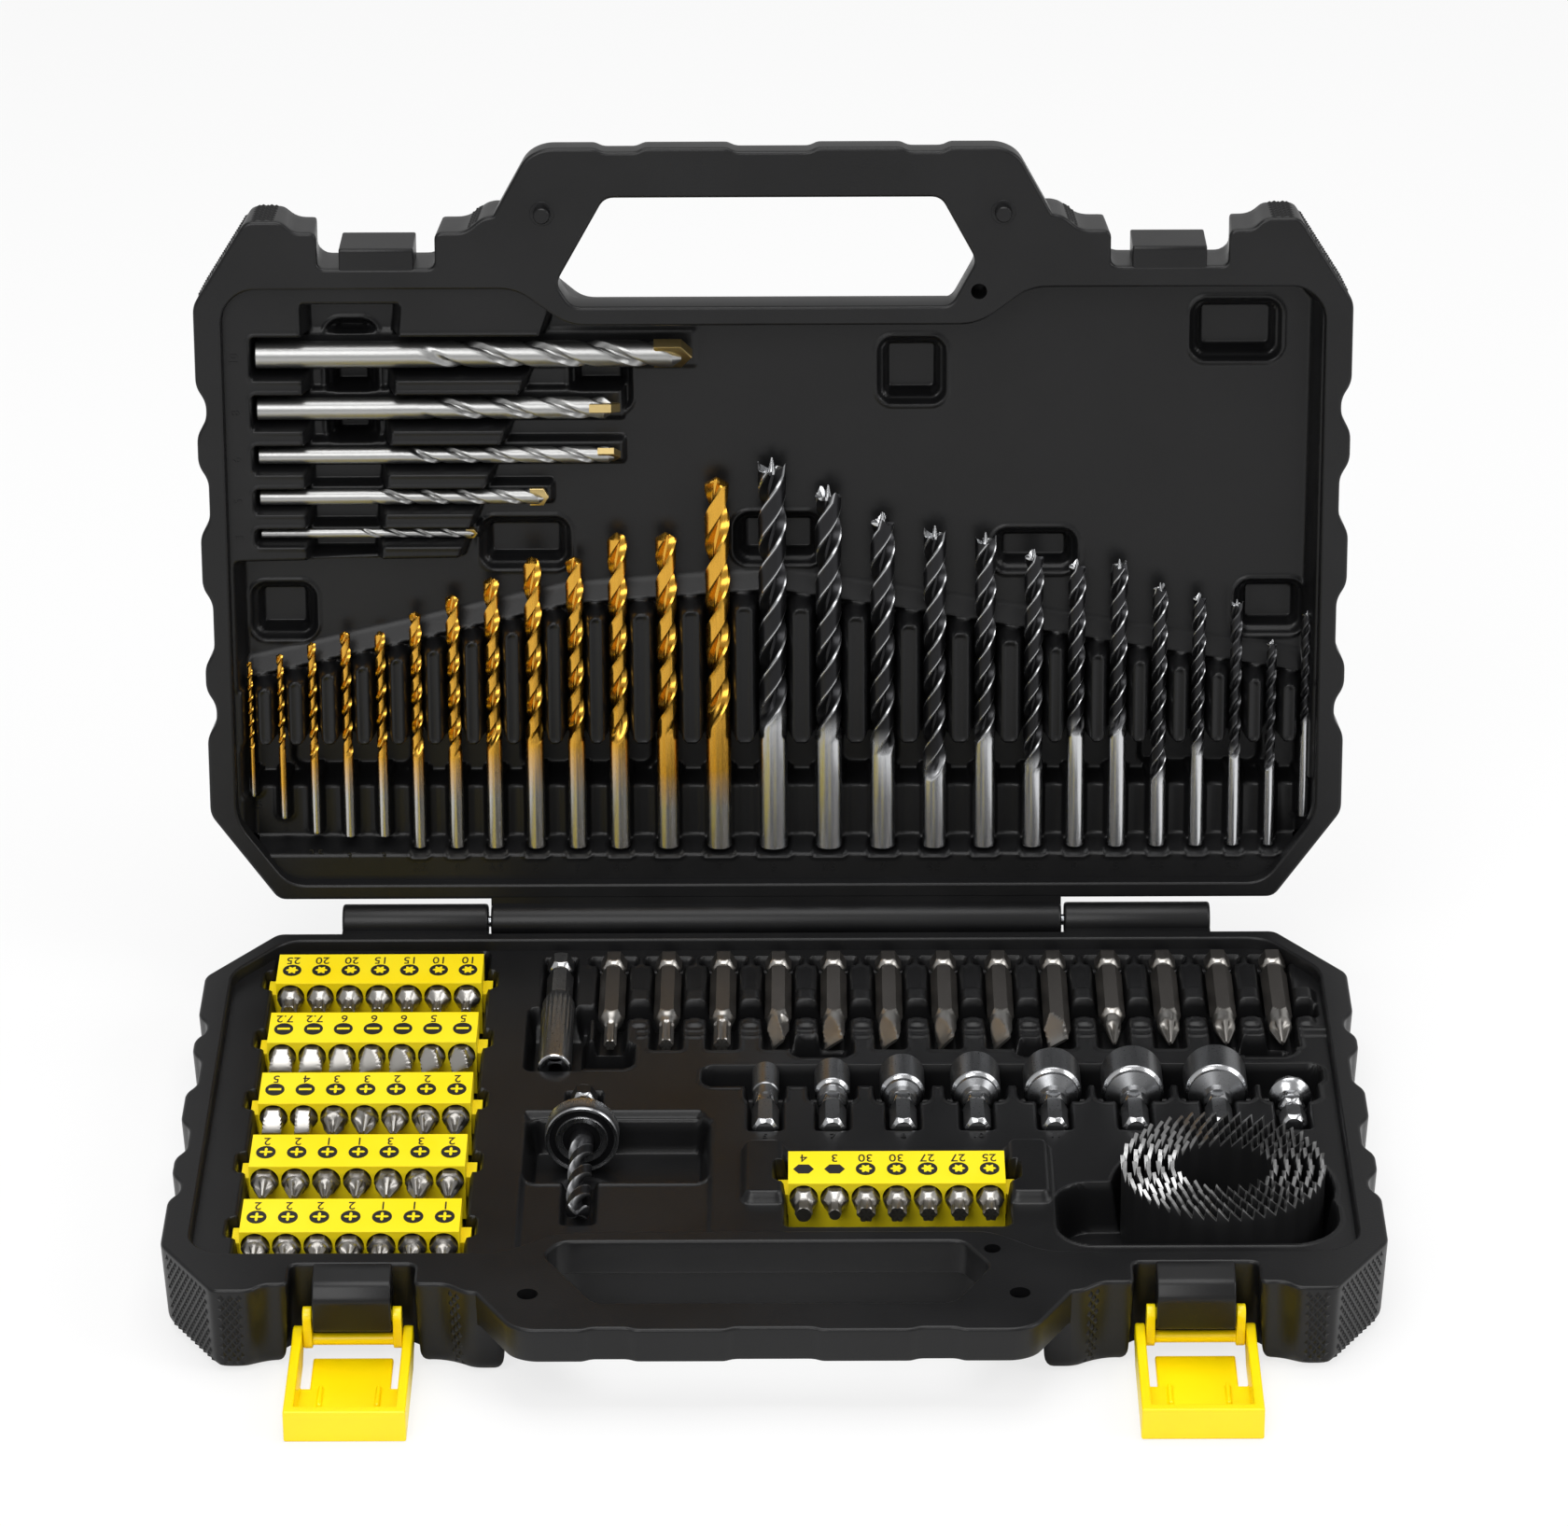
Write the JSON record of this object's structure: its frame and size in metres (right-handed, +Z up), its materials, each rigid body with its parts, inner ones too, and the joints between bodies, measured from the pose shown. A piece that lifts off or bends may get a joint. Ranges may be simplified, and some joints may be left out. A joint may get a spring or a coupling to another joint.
{
  "type": "drill bit case",
  "caption": "Open two-shell carrying case with a hinged lid, yellow latches and fitted drill bits, driver bits, nut drivers and hole saws.",
  "frame": {"origin": "middle of the base's underside: halfway along its length, 115 mm in front of the hinge axis", "axes": "+X to the right along the hinge, +Y towards the hinge at the back, +Z up; the lid is open"},
  "size_m": [0.317, 0.2841, 0.2476],
  "materials": {
    "black_plastic": "satin",
    "yellow_plastic": "satin",
    "gold_coated_steel": "satin",
    "black_oxide_steel": "satin",
    "grey_steel": "satin",
    "bright_steel": "satin",
    "bit_steel": "satin",
    "chrome": "satin"
  },
  "bodies": {
    "base": {"base_shell": "black_plastic", "hinge_pin": "bright_steel"},
    "lid": {"lid_shell": "black_plastic"},
    "latch_link_left": {"latch_link_left": "yellow_plastic"},
    "latch_lever_left": {"latch_lever_left": "yellow_plastic"},
    "latch_link_right": {"latch_link_right": "yellow_plastic"},
    "latch_lever_right": {"latch_lever_right": "yellow_plastic"},
    "masonry_bits": {"masonry_bit_3mm": "grey_steel", "masonry_bit_5mm": "grey_steel", "masonry_bit_6mm": "grey_steel", "masonry_bit_8mm": "grey_steel", "masonry_bit_10mm": "grey_steel"},
    "twist_bits": {"twist_bit_1_5mm": "gold_coated_steel", "twist_bit_2mm": "gold_coated_steel", "twist_bit_2_5mm": "gold_coated_steel", "twist_bit_3mm": "gold_coated_steel", "twist_bit_3_5mm": "gold_coated_steel", "twist_bit_4mm": "gold_coated_steel", "twist_bit_4_5mm": "gold_coated_steel", "twist_bit_5mm": "gold_coated_steel", "twist_bit_5_5mm": "gold_coated_steel", "twist_bit_6mm": "gold_coated_steel", "twist_bit_7mm": "gold_coated_steel"},
    "brad_point_bits": {"brad_point_bit_3mm": "black_oxide_steel", "brad_point_bit_3_5mm": "black_oxide_steel", "brad_point_bit_4mm": "black_oxide_steel", "brad_point_bit_4_5mm": "black_oxide_steel", "brad_point_bit_5mm": "black_oxide_steel", "brad_point_bit_5_5mm": "black_oxide_steel", "brad_point_bit_6mm": "black_oxide_steel", "brad_point_bit_6_5mm": "black_oxide_steel", "brad_point_bit_7mm": "black_oxide_steel", "brad_point_bit_7_5mm": "black_oxide_steel", "brad_point_bit_8mm": "black_oxide_steel"},
    "bit_bar_1": {"bit_bar_1": "yellow_plastic", "star_insert_bits": "bit_steel"},
    "bit_bar_2": {"bit_bar_2": "yellow_plastic", "slotted_insert_bits": "bit_steel"},
    "bit_bar_3": {"bit_bar_3": "yellow_plastic", "mixed_insert_bits": "bit_steel"},
    "bit_bar_4": {"bit_bar_4": "yellow_plastic", "cross_insert_bits_4": "bit_steel"},
    "bit_bar_5": {"bit_bar_5": "yellow_plastic", "cross_insert_bits_5": "bit_steel"},
    "bit_bar_front": {"bit_bar_front": "yellow_plastic", "hex_insert_bits": "bit_steel"},
    "bit_holder": {"bit_holder": "chrome", "holder_magnet": "grey_steel"},
    "saw_arbor": {"saw_arbor": "black_oxide_steel", "pilot_drill": "black_oxide_steel"},
    "hole_saws": {"hole_saw_29mm": "black_oxide_steel", "hole_saw_35mm": "black_oxide_steel", "hole_saw_41mm": "black_oxide_steel", "hole_saw_47mm": "black_oxide_steel", "hole_saw_53mm": "black_oxide_steel"},
    "nut_drivers": {"nut_drivers": "chrome"},
    "countersink": {"countersink": "chrome"},
    "star_power_bits": {"star_power_bits": "bit_steel"},
    "slotted_power_bits": {"slotted_power_bits": "bit_steel"},
    "cross_power_bits": {"cross_power_bits": "bit_steel"}
  },
  "joints": [
    {"name": "lid_hinge", "type": "hinge", "parent": "base", "child": "lid", "pos_m": [0, 0.115, 0.025], "axis": [-1, 0, 0], "range_deg": [-96.27, 0]},
    {"name": "latch_link_swing_left", "type": "hinge", "parent": "base", "child": "latch_link_left", "pos_m": [-0.1081, -0.0826, 0.0138], "axis": [1, 0, 0], "range_deg": [-60, 0]},
    {"name": "latch_lever_swing_left", "type": "hinge", "parent": "latch_link_left", "child": "latch_lever_left", "pos_m": [-0.1081, -0.0816, 0.0063], "axis": [-1, 0, 0], "range_deg": [0, 90]},
    {"name": "latch_link_swing_right", "type": "hinge", "parent": "base", "child": "latch_link_right", "pos_m": [0.1081, -0.0826, 0.0138], "axis": [1, 0, 0], "range_deg": [-60, 0]},
    {"name": "latch_lever_swing_right", "type": "hinge", "parent": "latch_link_right", "child": "latch_lever_right", "pos_m": [0.1081, -0.0816, 0.0063], "axis": [-1, 0, 0], "range_deg": [0, 90]},
    {"name": "masonry_bits_lift", "type": "slide", "parent": "lid", "child": "masonry_bits", "axis": [0, -0.994, 0.1092], "range_m": [0, 0.015]},
    {"name": "twist_bits_lift", "type": "slide", "parent": "lid", "child": "twist_bits", "axis": [0, -0.994, 0.1092], "range_m": [0, 0.015]},
    {"name": "brad_point_bits_lift", "type": "slide", "parent": "lid", "child": "brad_point_bits", "axis": [0, -0.994, 0.1092], "range_m": [0, 0.015]},
    {"name": "bit_bar_1_lift", "type": "slide", "parent": "base", "child": "bit_bar_1", "axis": [0, 0, 1], "range_m": [0, 0.025]},
    {"name": "bit_bar_2_lift", "type": "slide", "parent": "base", "child": "bit_bar_2", "axis": [0, 0, 1], "range_m": [0, 0.025]},
    {"name": "bit_bar_3_lift", "type": "slide", "parent": "base", "child": "bit_bar_3", "axis": [0, 0, 1], "range_m": [0, 0.025]},
    {"name": "bit_bar_4_lift", "type": "slide", "parent": "base", "child": "bit_bar_4", "axis": [0, 0, 1], "range_m": [0, 0.025]},
    {"name": "bit_bar_5_lift", "type": "slide", "parent": "base", "child": "bit_bar_5", "axis": [0, 0, 1], "range_m": [0, 0.025]},
    {"name": "bit_bar_front_lift", "type": "slide", "parent": "base", "child": "bit_bar_front", "axis": [0, 0, 1], "range_m": [0, 0.025]},
    {"name": "bit_holder_lift", "type": "slide", "parent": "base", "child": "bit_holder", "axis": [0, 0, 1], "range_m": [0, 0.02]},
    {"name": "saw_arbor_lift", "type": "slide", "parent": "base", "child": "saw_arbor", "axis": [0, 0, 1], "range_m": [0, 0.025]},
    {"name": "hole_saws_lift", "type": "slide", "parent": "base", "child": "hole_saws", "axis": [0, 0, 1], "range_m": [0, 0.03]},
    {"name": "nut_drivers_lift", "type": "slide", "parent": "base", "child": "nut_drivers", "axis": [0, 0, 1], "range_m": [0, 0.02]},
    {"name": "countersink_lift", "type": "slide", "parent": "base", "child": "countersink", "axis": [0, 0, 1], "range_m": [0, 0.02]},
    {"name": "star_power_bits_lift", "type": "slide", "parent": "base", "child": "star_power_bits", "axis": [0, 0, 1], "range_m": [0, 0.015]},
    {"name": "slotted_power_bits_lift", "type": "slide", "parent": "base", "child": "slotted_power_bits", "axis": [0, 0, 1], "range_m": [0, 0.015]},
    {"name": "cross_power_bits_lift", "type": "slide", "parent": "base", "child": "cross_power_bits", "axis": [0, 0, 1], "range_m": [0, 0.015]}
  ]
}
